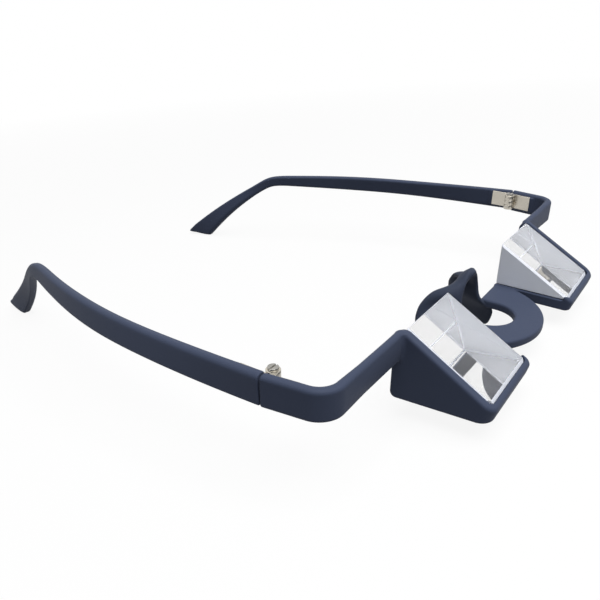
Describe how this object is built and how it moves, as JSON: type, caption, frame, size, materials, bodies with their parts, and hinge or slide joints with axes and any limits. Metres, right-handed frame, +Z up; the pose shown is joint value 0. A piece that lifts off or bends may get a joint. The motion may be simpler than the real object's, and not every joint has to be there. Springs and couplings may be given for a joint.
{
  "type": "belay glasses",
  "caption": "Prism glasses for looking upwards: wedge prisms in open holders on a one-piece front, a soft nose saddle, and folding temples on metal hinges",
  "frame": {"origin": "middle of the footprint, on the flat table the open glasses stand on, which the saddle's feet and both temple tips touch", "axes": "+X to the wearer's left, +Y from the prisms back to the temple tips, +Z up from the table"},
  "size_m": [0.156, 0.1798, 0.0274],
  "materials": {
    "frame_plastic": "dark navy moulded plastic with a soft, slightly satin surface",
    "soft_saddle": "dark navy soft elastomer, matte",
    "prism_glass": "clear polished glass with ground end faces and a mirrored underside",
    "clear_glue": "clear set adhesive film",
    "hinge_metal": "pale nickel-silver, lightly brushed",
    "hinge_screw": "plain steel, slightly duller than the hinge plates"
  },
  "bodies": {
    "front": {"front_frame": "frame_plastic", "right_prism": "prism_glass", "left_prism": "prism_glass", "right_prism_glue": "clear_glue", "left_prism_glue": "clear_glue", "nose_saddle": "soft_saddle", "right_front_hinge_leaf": "hinge_metal", "left_front_hinge_leaf": "hinge_metal", "right_hinge_screw": "hinge_screw", "left_hinge_screw": "hinge_screw"},
    "right_arm": {"right_temple": "frame_plastic", "right_temple_hinge_leaf": "hinge_metal"},
    "left_arm": {"left_temple": "frame_plastic", "left_temple_hinge_leaf": "hinge_metal"}
  },
  "joints": [
    {"name": "left_temple_fold", "type": "hinge", "parent": "front", "child": "left_arm", "pos_m": [0.0729, -0.05346, 0.02098], "axis": [0, -0.0949, 0.9955], "range_deg": [0, 84]},
    {"name": "right_temple_fold", "type": "hinge", "parent": "front", "child": "right_arm", "pos_m": [-0.0729, -0.05346, 0.02098], "axis": [0, 0.0949, -0.9955], "range_deg": [0, 74]}
  ]
}
